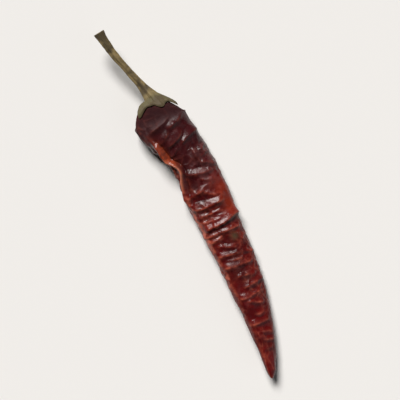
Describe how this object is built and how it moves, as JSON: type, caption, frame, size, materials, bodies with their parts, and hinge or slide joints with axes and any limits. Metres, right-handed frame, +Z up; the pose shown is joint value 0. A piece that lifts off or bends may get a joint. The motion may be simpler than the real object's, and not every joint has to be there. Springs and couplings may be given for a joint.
{
  "type": "dried chilli pepper",
  "caption": "Long, flattened, wrinkled dried chilli pod with its calyx and curved stalk, lying on its side.",
  "frame": {"origin": "on the surface that the pepper lies on, under the middle of its bounding box", "axes": "+Z up, +X along the pepper from the stalk to the tip, +Y across it"},
  "size_m": [0.1274, 0.0208, 0.0123],
  "materials": {
    "dried_skin": "waxy dark red skin, glossy on its creases, near black in the hollows and orange red where it is thin",
    "dried_stalk": "matt, dry olive to straw brown, ribbed along its length"
  },
  "bodies": {
    "root": {"pod": "dried_skin", "stalk_with_calyx": "dried_stalk"}
  },
  "joints": []
}
